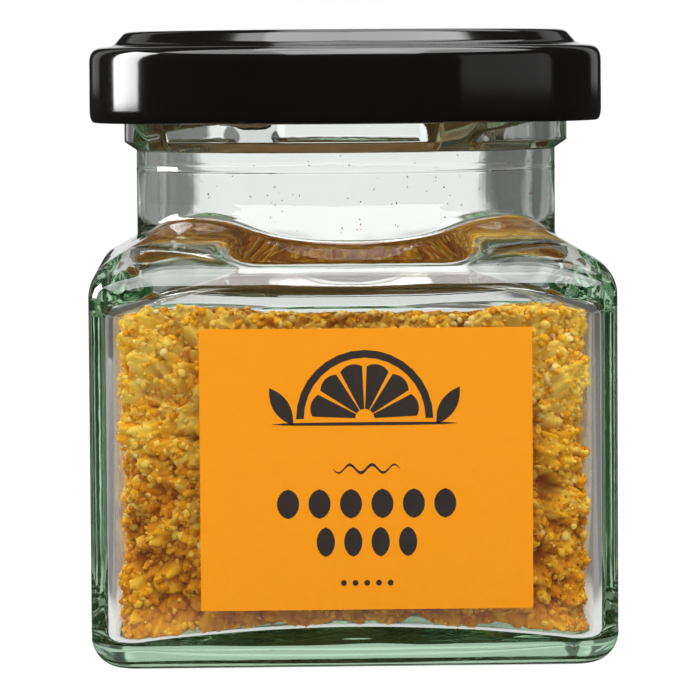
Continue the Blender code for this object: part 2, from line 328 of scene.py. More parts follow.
# %% Rows of the outside, from the hollow under the base to the neck
def outside_rows(turn):
    """The dish, the foot's rounding, the upright sides, the eaves, the slopes and the fillet."""
    dish = np.linspace(0, PUSH_UP_RADIUS, 12)[1:, None]
    dish_z = PUSH_UP_DEPTH * np.cos(math.pi / 2 * dish / PUSH_UP_RADIUS) ** 2
    rows = [(dish + 0 * turn, dish_z + 0 * turn)]

    foot_angle = np.linspace(-math.pi / 2, 0, 25)[:, None]
    foot_half = BODY_HALF - FOOT_RADIUS + FOOT_RADIUS * np.cos(foot_angle)
    foot_z = FOOT_RADIUS + FOOT_RADIUS * np.sin(foot_angle)
    foot = square_reach(foot_half, CORNER_RADIUS - (BODY_HALF - foot_half), turn)
    share = np.array([[0.33], [0.67]])
    rows.append((PUSH_UP_RADIUS + share * (foot[0] - PUSH_UP_RADIUS), 0 * share + 0 * turn))
    calm = np.clip(foot_z / FOOT_RADIUS, 0, 1)
    foot = foot + calm * waves(turn, foot_z, 5, STREAK_DEPTH, STREAK_DRIFT)
    rows.append((foot, foot_z + 0 * turn))

    eave_half, eave_z = eave_arc(BODY_HALF, EAVE_Z, EAVE_RADIUS, 18)
    low_z = np.linspace(FOOT_RADIUS, STREAKS_END_Z, 16)[1:]
    side_z = np.concatenate([low_z, np.linspace(STREAKS_END_Z, eave_z[0, 0], 8)[1:-1]])[:, None]
    side = square_reach(BODY_HALF + 0 * side_z, CORNER_RADIUS, turn)
    calm = np.clip((STREAKS_END_Z - side_z) / (STREAKS_END_Z - FOOT_RADIUS), 0, 1)
    side = side + calm * waves(turn, side_z, 5, STREAK_DEPTH, STREAK_DRIFT)
    rows.append((side, side_z + 0 * turn))
    rows.append(square_rows(eave_half, eave_z, turn))
    rows += slope_and_fillet(eave_half[-1, 0], turn, steps=8)
    return rows


print("outside of the body:", sum(len(radius) for radius, _ in outside_rows(np.zeros(1))), "rows")

# %% [markdown]
# ## Neck, bead and lugs
# Under the lid a glass neck carries a bead and, above it, the lugs that the lid grips. Their
# outline is one curve of radius against height. A lug is a bar that winds up round that curve,
# so at each direction the skin is simply the larger of the two radii.


# %% The neck's outline and its lugs
def neck_radius(height):
    """Radius of the neck and bead at each height, with the mould's seam as a fine ridge."""
    outline = np.array([
        (0.0440, NECK_RADIUS), (BEAD_BOTTOM_Z, NECK_RADIUS),
        (BEAD_BOTTOM_Z + BEAD_CHAMFER, BEAD_RADIUS), (BEAD_TOP_Z - 0.0002, BEAD_RADIUS),
        (BEAD_TOP_Z + 0.0001, BEAD_RADIUS - 0.0001),
        (BEAD_TOP_Z + FINISH_CHAMFER, FINISH_RADIUS), (RIM_Z, FINISH_RADIUS),
    ])
    seam = SEAM_HEIGHT * np.exp(-(((height - SEAM_Z) / SEAM_WIDTH) ** 2))
    return np.interp(height, outline[:, 0], outline[:, 1]) + seam


def with_lugs(radius, height, turn):
    """The neck's radius with the lugs on it.

    A lug starts as a flank that leans out from the foot of the bead. Past LUG_FLANK_SHARE it
    stands on the bead, above an edge that winds up, with the same lean, and the skin is the
    larger of the two radii. Smooth steps join the two and end the lug.
    """
    reach = BEAD_RADIUS + LUG_REACH
    leaning = np.minimum(NECK_RADIUS + (height - BEAD_BOTTOM_Z) * LUG_LEAN, reach)
    total = radius
    for k in range(LUG_COUNT):
        share = ((turn - LUG_START - k * 2 * math.pi / LUG_COUNT) % (2 * math.pi)) / LUG_SWEEP
        edge_z = LUG_EDGE_Z + LUG_RISE * np.clip(share - 0.25, 0, 1) / 0.75
        flank = np.minimum(BEAD_RADIUS + (height - edge_z) * LUG_LEAN, reach)
        winding = np.where(height > edge_z, np.maximum(radius, flank), radius)
        lifted = np.clip((share - LUG_FLANK_SHARE) / 0.08, 0, 1)
        lifted = lifted**2 * (3 - 2 * lifted)
        lug = leaning + (winding - leaning) * lifted
        ends = np.clip(np.minimum(share, 1 - share) / 0.05, 0, 1)
        total = total + (lug - radius) * ends * (share < 1) * (height > BEAD_BOTTOM_Z)
    return total


lug_radius = with_lugs(BEAD_RADIUS, LUG_EDGE_Z + LUG_RISE + LUG_REACH, np.radians(np.arange(360)))
print("lugs stand", round(1000 * float(np.max(lug_radius) - BEAD_RADIUS), 2), "mm off the bead")


# %% Rows of the neck, bead, lugs and rim
def neck_rows(low_z, turn):
    """From the top of the shoulder's fillet (a height per column) up over the rim."""
    share = np.linspace(0, 1, 8)[1:, None]
    neck_z = low_z + (SEAM_Z - 0.0004 - low_z) * share
    across_seam = SEAM_Z + np.linspace(-2 * SEAM_WIDTH, 2 * SEAM_WIDTH, 7)
    under_bead = np.linspace(SEAM_Z + 0.0006, BEAD_BOTTOM_Z - 0.0001, 4)
    bead_edge = BEAD_BOTTOM_Z + np.linspace(0, 0.0011, 10)
    lug_z = BEAD_BOTTOM_Z + np.linspace(0.0013, 0.0065, 36)
    finish_z = np.linspace(BEAD_BOTTOM_Z + 0.0075, RIM_Z - RIM_RADIUS, 4)
    fine_z = np.concatenate([across_seam, under_bead, bead_edge, lug_z, finish_z])[:, None]
    height = np.concatenate([neck_z, fine_z + 0 * turn])
    radius = with_lugs(neck_radius(height), height, turn)
    over = np.linspace(0, math.pi / 2, 6)[1:, None]
    outer = (
        FINISH_RADIUS - RIM_RADIUS + RIM_RADIUS * np.cos(over) + 0 * turn,
        RIM_Z - RIM_RADIUS + RIM_RADIUS * np.sin(over) + 0 * turn,
    )
    inner = (
        BORE_RADIUS + RIM_RADIUS - RIM_RADIUS * np.sin(over) + 0 * turn,
        RIM_Z - RIM_RADIUS + RIM_RADIUS * np.cos(over) + 0 * turn,
    )
    return [(radius, height), outer, inner]


print("neck and rim:", sum(len(radius) for radius, _ in neck_rows(0.0435, np.zeros(1))), "rows")

# %% [markdown]
# ## The inside of the glass
# The outside takes the shape of the mould, but the inside is blown and doesn't copy its edges.
# From the square body to the round bore it changes smoothly, so along the four hips the glass
# is thick, and green.

# %% The line of the inner shoulder
def inner_shoulder():
    """Half widths, heights and corner radii of the inside, from the upright wall to the bore.

    The wall bends over the knee to the knee's pitch, the slope flattens to the throat's pitch,
    and a long curve turns up into the bore. Along that line the corner's radius grows from
    the wall's to the full circle by s^2 (3 - 2s), s being CORNER_PACE times the share of the
    line, and at most 1.
    """
    bend = np.linspace(0, math.pi / 2 - KNEE_PITCH, 16)
    knee = INNER_HALF - KNEE_RADIUS * (1 - np.cos(bend)), KNEE_Z + KNEE_RADIUS * np.sin(bend)
    cut = THROAT_CUT * np.array([math.cos(THROAT_PITCH), math.sin(THROAT_PITCH)])
    run = knee[0][-1] - BORE_RADIUS
    share = np.linspace(0, 1 - cut[0] / run, 10)[1:]
    pitches = math.tan(KNEE_PITCH), math.tan(THROAT_PITCH)
    rise = run * (share * pitches[0] + share**2 / 2 * (pitches[1] - pitches[0]))
    slope = knee[0][-1] - run * share, knee[1][-1] + rise
    corner_z = slope[1][-1] + cut[1]
    bore_foot, bore_start = (BORE_RADIUS, corner_z), (BORE_RADIUS, corner_z + THROAT_RISE)
    throat = bend_rows((slope[0][-1], slope[1][-1]), bore_foot, bore_start, 15)
    line = np.vstack([np.transpose(knee), np.transpose(slope), np.hstack(throat)[1:]])
    share = np.append(0, np.cumsum(np.linalg.norm(np.diff(line, axis=0), axis=1)))[:, None]
    share = share / share[-1]
    half, height = line[:, :1], line[:, 1:]
    share = np.minimum(share * CORNER_PACE, 1)
    corner = INNER_CORNER_RADIUS + (half - INNER_CORNER_RADIUS) * share**2 * (3 - 2 * share)
    return half, height, corner


print("bore starts at", round(1000 * float(inner_shoulder()[1][-1, 0]), 2), "mm")


# %% Rows of the inside, from the bore down to the domed floor
def cavity_rows(turn):
    """The bore, the inner shoulder, the upright walls, their foot and the domed floor."""
    half, height, corner = inner_shoulder()
    shoulder = square_reach(half, corner, turn)[::-1], height[::-1] + 0 * turn

    bore_top = RIM_Z - RIM_RADIUS
    share = np.linspace(0, 1, 12)[1:-1, None]
    bore_z = bore_top + (height[-1, 0] - bore_top) * share + 0 * turn
    calm = np.sin(math.pi * share)
    bore = BORE_RADIUS + calm * waves(turn, bore_z, 4, 0.00006)

    wall = square_reach(INNER_HALF, INNER_CORNER_RADIUS, turn)[None, :]
    floor_z = FLOOR_TOP - FLOOR_FALL * wall**2
    round_foot = bend_rows(
        (wall, floor_z + INNER_FOOT_RADIUS),
        (wall, floor_z),
        (wall - INNER_FOOT_RADIUS, floor_z + INNER_FOOT_LIFT),
        7,
    )
    share = np.linspace(0, 1, 8)[1:-1, None]
    side_z = height[0, 0] + (floor_z + INNER_FOOT_RADIUS - height[0, 0]) * share
    floor = (wall - INNER_FOOT_RADIUS) * np.linspace(1, 0, 12)[1:-1, None]
    dome = floor, FLOOR_TOP - FLOOR_FALL * floor**2
    return [(bore, bore_z), shoulder, (wall + 0 * side_z, side_z), round_foot, dome]


print("inside:", sum(len(radius) for radius, _ in cavity_rows(np.zeros(1))), "rows")

# %% Build the glass
GLASS_COLUMNS = 412
glass_turn = column_turns(GLASS_COLUMNS, BODY_HALF, CORNER_RADIUS)
outside = outside_rows(glass_turn)
skin = outside + neck_rows(outside[-1][1][-1], glass_turn) + cavity_rows(glass_turn)
skin_radius = np.concatenate([np.broadcast_to(r, np.broadcast(r, z).shape) for r, z in skin])
skin_height = np.concatenate([np.broadcast_to(z, np.broadcast(r, z).shape) for r, z in skin])
glass = turned_shell(
    "jar_glass_fine", skin_radius, skin_height, glass_turn, (PUSH_UP_DEPTH, FLOOR_TOP)
)
report(glass)

# %% [markdown]
# ## The lid
# The lid is drawn tin plate: a flat middle, a raised ring, a ledge, an upright side and an
# edge rolled inwards. It is lacquered black outside and gold inside, and the gold shows as
# brown through the glass bead. It is one profile turned round the axis, and each corner of
# that profile is softened by the same three-point curve as above.

# %% Turn the lid
LID_RADIUS = 0.02805
LID_BOTTOM_Z = 0.0570
LID_LEDGE_Z = 0.0653
LID_TOP_Z = 0.0669
LID_SHEET = 0.0003
LID_CURL = 0.0012
LID_COLUMNS = 256


def softened(points, cuts, steps=7):
    """A path (r, z) whose corners are rounded: cuts is how far before and after each."""
    points, path = np.array(points, float), []
    for before, corner, after, cut in zip(points, points[1:], points[2:], cuts):
        back, on = before - corner, after - corner
        start = corner + back / np.hypot(*back) * min(cut, 0.5 * np.hypot(*back))
        stop = corner + on / np.hypot(*on) * min(cut, 0.5 * np.hypot(*on))
        s = np.linspace(0, 1, steps)[:, None]
        path.append((1 - s) ** 2 * start + 2 * s * (1 - s) * corner + s**2 * stop)
    return np.concatenate([points[:1], *path, points[-1:]])


lid_outside = softened(
    [
        (0.0006, LID_TOP_Z - 0.0007), (0.0193, LID_TOP_Z - 0.0007), (0.0200, LID_TOP_Z),
        (0.0241, LID_TOP_Z), (0.0255, LID_LEDGE_Z), (LID_RADIUS, LID_LEDGE_Z - 0.0002),
        (LID_RADIUS, LID_BOTTOM_Z), (LID_RADIUS - 0.0012, LID_BOTTOM_Z),
    ],
    [0.0004, 0.0005, 0.0005, 0.0006, 0.0016, 0.0014],
    steps=11,
)
lid_inside = softened(
    [
        (LID_RADIUS - 0.0012, LID_BOTTOM_Z), (LID_RADIUS - 0.0023, LID_BOTTOM_Z + 0.0001),
        (LID_RADIUS - 0.0023, LID_BOTTOM_Z + 0.0022), (LID_RADIUS - 0.0004, LID_BOTTOM_Z + 0.0024),
        (LID_RADIUS - LID_SHEET, LID_LEDGE_Z - 0.0005), (0.0252, LID_LEDGE_Z - 0.0003),
        (0.0239, LID_TOP_Z - LID_SHEET), (0.0202, LID_TOP_Z - LID_SHEET),
        (0.0195, LID_TOP_Z - 0.0010), (0.0006, LID_TOP_Z - 0.0010),
    ],
    [0.0010, 0.0008, 0.0006, 0.0010, 0.0004, 0.0004, 0.0004, 0.0004],
)
lid_path = np.concatenate([lid_outside, lid_inside[1:]])[::-1]
lid_turn = np.linspace(-math.pi, math.pi, LID_COLUMNS, endpoint=False)
lid = turned_shell(
    "lid_fine", lid_path[:, :1] + 0 * lid_turn, lid_path[:, 1:] + 0 * lid_turn, lid_turn,
    (LID_TOP_Z - 0.0010, LID_TOP_Z - 0.0007),
)
report(lid)

# %% [markdown]
# ## The label
# A paper label is a sheet stuck flat on the glass. It is drawn as a thin closed slab with its
# front as a grid, so the same helper also makes the printed marks: a mark is a patch of that
# grid, bent to any outline, that stands a hair in front of the paper.

# %% Sheets on the front of the jar
LABEL_WIDTH = 0.0347
LABEL_HEIGHT = 0.0294
LABEL_MIDDLE_Z = 0.0211
LABEL_ASIDE = 0.0011
LABEL_THICKNESS = 0.00012
LABEL_BACK = BODY_HALF + 0.00002
LABEL_FRONT = LABEL_BACK + LABEL_THICKNESS
INK_THICKNESS = 0.00002


def slab(across, up, front, back):
    """Points and faces of a closed slab whose outline and inside are a grid on the front.

    across and up are (m, n) arrays of x and z. The front is at y = -front and the back at
    y = -back. Going round the grid's border, each step is joined to its twin on the back.
    """
    m, n = across.shape
    sheet = [
        np.stack([across, np.full((m, n), -y), up], axis=-1).reshape(-1, 3) for y in (front, back)
    ]
    grid = np.arange(m * n).reshape(m, n)
    front_faces = np.stack([grid[:-1, :-1], grid[:-1, 1:], grid[1:, 1:], grid[1:, :-1]], axis=-1)
    front_faces = front_faces.reshape(-1, 4)
    border = np.concatenate([grid[0, :-1], grid[:-1, -1], grid[-1, :0:-1], grid[:0:-1, 0]])
    onward = np.roll(border, -1)
    rim = np.stack([onward, border, border + m * n, onward + m * n], axis=-1)
    faces = np.concatenate([front_faces, front_faces[:, ::-1] + m * n, rim])
    return np.concatenate(sheet), faces


def joined(parts):
    """Several (points, faces) as one."""
    starts = np.cumsum([0] + [len(points) for points, _ in parts[:-1]])
    points = np.concatenate([points for points, _ in parts])
    return points, np.concatenate([faces + start for (_, faces), start in zip(parts, starts)])


label_across, label_up = np.meshgrid(
    LABEL_ASIDE + np.linspace(-LABEL_WIDTH / 2, LABEL_WIDTH / 2, 25),
    LABEL_MIDDLE_Z + np.linspace(-LABEL_HEIGHT / 2, LABEL_HEIGHT / 2, 21),
)
label = mesh_object("label_paper", *slab(label_across, label_up, LABEL_FRONT, LABEL_BACK))
label.data.shade_flat()
report(label)

# %% [markdown]
# ## The print
# Jars like this carry a mark, a rule and a few lines on the label. Here they are plain
# shapes: half a slice of fruit with a leaf at each side, a wavy rule, two rows of lozenges and
# a row of dots. Each is a grid of polar or straight coordinates, so no outline is traced.


# %% Shapes of the print, in millimetres from the label's middle
def wedge(centre, inner, outer, start, stop, bow=0.0):
    """A patch between two radii and two angles in degrees, its far side bowed out by bow."""
    angle, share = np.meshgrid(np.radians(np.linspace(start, stop, 17)), np.linspace(0, 1, 5))
    middle = math.radians(start + stop) / 2
    width = np.maximum(math.radians(stop - start) / 2, 1e-9)
    swell = bow * (1 - ((angle - middle) / width) ** 2)
    radius = inner + (outer + swell - inner) * share
    return centre[0] + radius * np.cos(angle), centre[1] + radius * np.sin(angle)


def lens(centre, length, width, tilt, power=1.0):
    """A leaf or lozenge: from -1 to 1 along it the half width is width/2 * (1 - along^2)^power."""
    along, side = np.meshgrid(np.linspace(-1, 1, 17), np.linspace(-1, 1, 5))
    x = along * length / 2
    y = side * width / 2 * np.maximum(1 - along**2, 1e-4) ** power
    turn = math.radians(tilt)
    return (
        centre[0] + x * math.cos(turn) - y * math.sin(turn),
        centre[1] + x * math.sin(turn) + y * math.cos(turn),
    )


def wave_rule(centre, length, height, thickness, periods):
    """A rule whose middle line is height * sin, thinner towards its ends."""
    along, side = np.meshgrid(np.linspace(-1, 1, 65), np.linspace(-1, 1, 3))
    y = height * np.sin(math.pi * periods * along)
    y = y + side * thickness / 2 * (1 - 0.7 * along**2)
    return centre[0] + along * length / 2, centre[1] + y


SLICE = (-0.15, 5.3)
marks = [wedge(SLICE, 6.35, 7.15, 0, 180)]
marks += [wedge(SLICE, 1.0, 5.45, 30 * k + 2.5, 30 * k + 27.5, bow=0.35) for k in range(6)]
marks += [lens((SLICE[0] + side * 8.7, 6.6), 4.6, 1.7, side * 58) for side in (-1, 1)]
marks += [lens((SLICE[0], 4.75), 19.3, 0.34, 0, power=0.3)]
marks += [wave_rule((0, 0.05), 7.0, 0.42, 0.34, 3)]
marks += [lens((3.28 * (k - 2.5), -3.6), 3.1, 2.3, 90, power=0.6) for k in range(6)]
marks += [lens((2.86 * (k - 1.5), -7.6), 3.1, 1.9, 90, power=0.6) for k in range(4)]
marks += [lens((1.22 * (k - 2), -11.9), 0.62, 0.62, 0, power=0.5) for k in range(5)]
ink_front = LABEL_FRONT + INK_THICKNESS
ink_sheets = [
    slab(LABEL_ASIDE + 0.001 * x, LABEL_MIDDLE_Z + 0.001 * z, ink_front, LABEL_FRONT)
    for x, z in marks
]
label_print = mesh_object("label_print", *joined(ink_sheets))
label_print.data.shade_flat()
report(label_print)

# %% [markdown]
# ## The peel
# Dried peel is crushed into crumbs from dust up to 3 mm, and they cling in clumps. The fill is
# one rough skin over a core: clumps about 3 mm across, made of crumbs of about 1 mm, made of
# grains. Each of the three is a field of cells, where a cell is the ground nearest to one of
# many scattered points, so it bulges in its middle and has a crease along its border. Loose
# crumbs lie on the skin. Where the peel presses on the glass it is flattened, and it reaches a
# hundredth of a millimetre into it, so that no air shows between.

# %% The space that the peel fills
FILL_Z = 0.0383  # mean height of the top
INTO_GLASS = 0.00001


def heap_height(x, y):
    """The uneven top: a slow tilt with three sizes of bump on it."""
    u, v = x / BODY_HALF, y / BODY_HALF
    slow = 1.3 * u * u - 0.1 + 0.15 * v - 0.25 * u
    bumps = 0.42 * np.sin(5.1 * u + 1.3) * np.cos(4.3 * v - 0.4)
    bumps = bumps + 0.28 * np.sin(9.7 * u - 7.9 * v + 0.8) + 0.20 * np.cos(13.1 * v + 6.1 * u)
    return FILL_Z + 0.001 * (slow + bumps)


room_line = np.concatenate(inner_shoulder(), axis=1)  # half widths, heights, corner radii


def pressed(points, reach):
    """Points drawn back inside the hollow, which they may pass by reach.

    A point outside the hollow's rounded square at its height is moved onto it, and points
    under the domed floor are lifted to it.
    """
    x, y, z = points[..., 0], points[..., 1], points[..., 2]
    floor = FLOOR_TOP - FLOOR_FALL * (x**2 + y**2) - reach
    z = np.maximum(z, floor)
    room, corner = (np.interp(z, room_line[:, 1], room_line[:, k]) for k in (0, 2))
    half = square_half(x, y, corner)
    scale = np.minimum(1, (room + reach) / np.maximum(half, 1e-6))
    return np.stack([x * scale, y * scale, z], axis=-1)


edge_heights = heap_height(np.linspace(-INNER_HALF, INNER_HALF, 99), -INNER_HALF)
print("top at the front:", np.round(1000 * np.array([edge_heights.min(), edge_heights.max()]), 1))


# %% Ripples and cells, for the relief
def ripple(points, size, count, seed):
    """Smooth random relief: the mean of count sine waves of about one size in all directions."""
    rng = np.random.default_rng(seed)
    heading = rng.normal(size=(count, 3))
    heading /= np.linalg.norm(heading, axis=1, keepdims=True)
    pitch = 2 * math.pi / (size * rng.uniform(0.7, 1.4, count))
    phase = rng.uniform(0, 2 * math.pi, count)
    return np.sin(points @ (heading.T * pitch) + phase).sum(axis=-1) / math.sqrt(count / 2)


def bent(points, size, amount, seed):
    """Points shifted by amount times a ripple on each axis, which makes cells irregular."""
    shift = [ripple(points, size, 8, seed + axis) for axis in range(3)]
    return points + amount * np.stack(shift, axis=-1)


LATTICE_POINTS = 4096
LATTICE_PRIMES = np.array([73856093, 19349663, 83492791])


def cells(points, size, seed):
    """Distance to the nearest scattered point, in cell sizes, and a random number for its cell.

    Each cube of a lattice holds one point, whose place comes from a table of random numbers.
    A distance is divided by the point's own strength, so that cells differ in size, and the
    27 cubes around are searched.
    """
    table = np.random.default_rng(seed).random((LATTICE_POINTS, 5))
    scaled = points / size
    cube = np.floor(scaled).astype(np.int64)
    nearest, tone = np.full(points.shape[:-1], 9.0), np.zeros(points.shape[:-1])
    for step in np.ndindex(3, 3, 3):
        other = cube + np.array(step) - 1
        row = (other @ LATTICE_PRIMES) % LATTICE_POINTS
        away = np.linalg.norm(scaled - other - table[row, :3], axis=-1)
        away = away / (0.72 + 0.5 * table[row, 3])
        closer = away < nearest
        nearest = np.where(closer, away, nearest)
        tone = np.where(closer, table[row, 4], tone)
    return nearest, tone


example = cells(np.random.default_rng(0).random((999, 3)), 0.1, 1)[0]
print("mean distance to a cell's point:", round(float(example.mean()), 2), "cell sizes")

# %% The skin of the fill as one grid
SKIN_COLUMNS = 1000
FLOOR_ROWS, SIDE_ROWS, TOP_ROWS = 14, 174, 36
skin_turn = column_turns(SKIN_COLUMNS, INNER_HALF, INNER_CORNER_RADIUS, bend_share=0.05)
wall = square_reach(INNER_HALF, INNER_CORNER_RADIUS, skin_turn)[None, :]
floor_share = np.linspace(0, 1, FLOOR_ROWS + 1)[1:, None] ** 0.8
floor_z = FLOOR_TOP - FLOOR_FALL * (wall * floor_share) ** 2
edge_z = heap_height(wall * np.cos(skin_turn), wall * np.sin(skin_turn))
side_z = floor_z[-1] + (edge_z - floor_z[-1]) * np.linspace(0, 1, SIDE_ROWS + 2)[1:-1, None]
top_share = np.linspace(1, 0, TOP_ROWS + 1)[:-1, None] ** 0.8
top_reach = wall * top_share
top_z = heap_height(top_reach * np.cos(skin_turn), top_reach * np.sin(skin_turn))
fill_radius = np.concatenate([wall * floor_share, wall + 0 * side_z, top_reach])
fill_height = np.concatenate([floor_z, side_z, top_z])
smooth_skin = np.stack(
    [fill_radius * np.cos(skin_turn), fill_radius * np.sin(skin_turn), fill_height], axis=-1
)
SKIN_ROWS = len(fill_radius)
print("skin of the fill:", SKIN_ROWS, "rows of", SKIN_COLUMNS)

# %% Clumps, crumbs and grains pressed into the skin
def painted_top_light(height):
    """What a crumb's tone gains with height: painted light, paler towards the top, where more
    light falls.
    """
    return 0.70 * (height / FILL_Z - 0.48)


CLUMP_SIZE, CRUMB_SIZE, GRAIN_SIZE = 0.0030, 0.00118, 0.00058
DEEPEST = 0.0024
CORE_Z, CORE_REACH = 0.021, 0.0165  # the fill's middle, and how far its floor and top are from it

clump, clump_tone = cells(bent(smooth_skin, 0.0035, 0.00045, 101), CLUMP_SIZE, 1)
crumb, crumb_tone = cells(bent(smooth_skin, 0.0014, 0.00018, 104), CRUMB_SIZE, 2)
grain, grain_tone = cells(bent(smooth_skin, 0.0008, 0.00006, 107), GRAIN_SIZE, 3)
swell = ripple(smooth_skin, 0.0060, 16, 110)
sinking = 0.0020 * clump**2.2 + 0.0009 * crumb**1.8 + 0.00030 * grain
sinking = sinking + 0.00018 * np.clip(1 + swell, 0, 9)
calm = np.clip((fill_height - floor_z[-1]) / 0.0010, 0.6, 1)
sinking = np.clip(sinking * calm, 0, DEEPEST) - INTO_GLASS
middle = np.array([0, 0, CORE_Z])
pull = 1 - sinking[..., None] / np.array([INNER_HALF, INNER_HALF, CORE_REACH])
rough_skin = pressed(middle + (smooth_skin - middle) * pull, INTO_GLASS)
# The tone mixes the cells' random tones with painted light that is paler towards the top.
skin_tone = 0.30 * clump_tone + 0.45 * crumb_tone + 0.25 * grain_tone + painted_top_light(fill_height)
print("deepest crease:", round(1000 * float(sinking.max()), 2), "mm")

# %% Painted shade at each place: creases, less higher up, the top under the lid, the front's edge
# Painted shade in the creases: darker where the skin sinks deeper, and along the crumbs' borders.
skin_sunk = 0.15 + 0.7 * np.clip((sinking - 0.0006) / 0.0014, 0, 1)
skin_sunk = skin_sunk + 0.5 * np.clip(crumb - 0.25, 0, 1)
# Painted light: less of the painted shade towards the top.
skin_sunk = skin_sunk * (1 - 0.4 * np.clip((fill_height / FILL_Z - 0.5) / 0.3, 0, 1))
# Painted shadow of the lid on the middle of the front's top edge.
near_edge = ((fill_height - FILL_Z - 0.0003) / 0.0014) ** 2
front_edge_shadow = np.exp(-((smooth_skin[..., 0] / 0.0125) ** 4) - near_edge)
skin_sunk = skin_sunk + 0.55 * front_edge_shadow * (smooth_skin[..., 1] < -0.8 * INNER_HALF)
# Painted shade on the top of the fill, under the lid.
under_lid = np.clip((0.97 * wall - fill_radius) / 0.002, 0, 1) * (fill_height > 0.9 * FILL_Z)
skin_sunk = skin_sunk + 0.65 * under_lid
print("share of the skin in deep shade:", round(float((skin_sunk > 1).mean()), 2))


# %% Four quarters of the skin, each closed through the middle
def with_numbers(obj, **numbers):
    """Stores a number per point on the mesh, under each name."""
    for key, values in numbers.items():
        layer = obj.data.attributes.new(key, "FLOAT", "POINT")
        layer.data.foreach_set("value", np.asarray(values, np.float32).ravel())
    return obj


def quarter(name, first):
    """A closed wedge of the fill: a quarter of the skin's columns, and fans to a middle point."""
    columns = (first + np.arange(SKIN_COLUMNS // 4 + 1)) % SKIN_COLUMNS
    count = len(columns)
    grid = np.arange(SKIN_ROWS * count).reshape(SKIN_ROWS, count)
    low, high, inner = grid.size, grid.size + 1, grid.size + 2
    sides = np.stack([grid[:-1, :-1], grid[:-1, 1:], grid[1:, 1:], grid[1:, :-1]], axis=-1)

    def fan(tip, line):
        return np.stack([np.full(len(line) - 1, tip), line[:-1], line[1:]], axis=-1)

    left = np.concatenate([[low], grid[:, 0], [high]])
    right = np.concatenate([[low], grid[:, -1], [high]])[::-1]
    caps = [fan(low, grid[0, ::-1]), fan(high, grid[-1]), fan(inner, left), fan(inner, right)]
    top_tip = heap_height(0, 0) - 0.0008
    ends = np.array([[0, 0, FLOOR_TOP + 0.0005], [0, 0, top_tip], [0, 0, CORE_Z]])
    points = np.concatenate([rough_skin[:, columns].reshape(-1, 3), ends])
    made = mesh_object(name, points, sides.reshape(-1, 4), np.concatenate(caps))
    return with_numbers(
        made,
        tone=np.append(skin_tone[:, columns], [0.5, 0.5, 0.5]),
        sunk=np.append(skin_sunk[:, columns], [1, 1, 1]),
    )


quarters = [
    quarter(f"peel_{side}", np.searchsorted(skin_turn, turn))
    for side, turn in (("front", -0.75 * math.pi), ("right", -0.25 * math.pi),
                       ("back", 0.25 * math.pi), ("left", 0.75 * math.pi))
]
for obj in quarters:
    report(obj)


# %% [markdown]
# ## Loose crumbs
# A crumb is a ball of 12 points, each moved out or in, then squashed, so that no two look
# alike. Its place is a random point of the skin, where it lies partly sunk. Each kind is one
# mesh of thousands of crumbs.

# %% Crumb shapes
def ball():
    """A 20-faced ball of 12 points: the corners of three golden rectangles."""
    g = (1 + math.sqrt(5)) / 2
    points = np.array([
        (-1, g, 0), (1, g, 0), (-1, -g, 0), (1, -g, 0), (0, -1, g), (0, 1, g),
        (0, -1, -g), (0, 1, -g), (g, 0, -1), (g, 0, 1), (-g, 0, -1), (-g, 0, 1),
    ])
    faces = np.array([
        (0, 11, 5), (0, 5, 1), (0, 1, 7), (0, 7, 10), (0, 10, 11), (1, 5, 9), (5, 11, 4),
        (11, 10, 2), (10, 7, 6), (7, 1, 8), (3, 9, 4), (3, 4, 2), (3, 2, 6), (3, 6, 8),
        (3, 8, 9), (4, 9, 5), (2, 4, 11), (6, 2, 10), (8, 6, 7), (9, 8, 1),
    ])
    return points / np.linalg.norm(points, axis=1, keepdims=True), faces


def crumb_shapes(count, rough, seed):
    """count uneven variants of the ball: each point moves out or in by up to rough."""
    rng = np.random.default_rng(seed)
    points, faces = ball()
    scale = 1 + rough * rng.uniform(-1, 1, (count, len(points), 1))
    squash = rng.uniform(0.5, 1.15, (count, 1, 3))
    return points[None] * scale * squash, faces


print("a crumb has", len(ball()[1]), "faces")


# %% Turns, and one mesh of many crumbs
def random_turns(count, rng):
    """Rotation matrices spread evenly over all turns, from random unit quaternions."""
    w, x, y, z = (lambda q: q / np.linalg.norm(q, axis=0))(rng.normal(size=(4, count)))
    return np.stack([
        np.stack([1 - 2 * (y * y + z * z), 2 * (x * y - z * w), 2 * (x * z + y * w)], -1),
        np.stack([2 * (x * y + z * w), 1 - 2 * (x * x + z * z), 2 * (y * z - x * w)], -1),
        np.stack([2 * (x * z - y * w), 2 * (y * z + x * w), 1 - 2 * (x * x + y * y)], -1),
    ], axis=1)


def strew(name, places, sizes, sunk, shapes, seed):
    """One mesh with a crumb at each place, and a tone and a painted shade value for each crumb."""
    rng = np.random.default_rng(seed)
    variants, faces = shapes
    count, points_each = len(places), variants.shape[1]
    pick = rng.integers(0, len(variants), count)
    turned = np.einsum("nij,npj->npi", random_turns(count, rng), variants[pick])
    points = places[:, None] + turned * sizes[:, None, None]
    points = pressed(points, -0.00002)
    numbers = faces[None] + points_each * np.arange(count)[:, None, None]
    made = mesh_object(name, points.reshape(-1, 3), numbers.reshape(-1, 3))
    # A crumb's tone is random, with painted light that is paler with height.
    return with_numbers(
        made,
        tone=np.repeat(rng.random(count) + painted_top_light(places[:, 2]), points_each),
        sunk=np.repeat(sunk, points_each),
    )


# %% Lay crumbs and grains on the skin
CRUMB_VARIANTS = 32
SHARE_ON_TOP = 0.24
crumb_shape_set = crumb_shapes(CRUMB_VARIANTS, 0.30, 21)


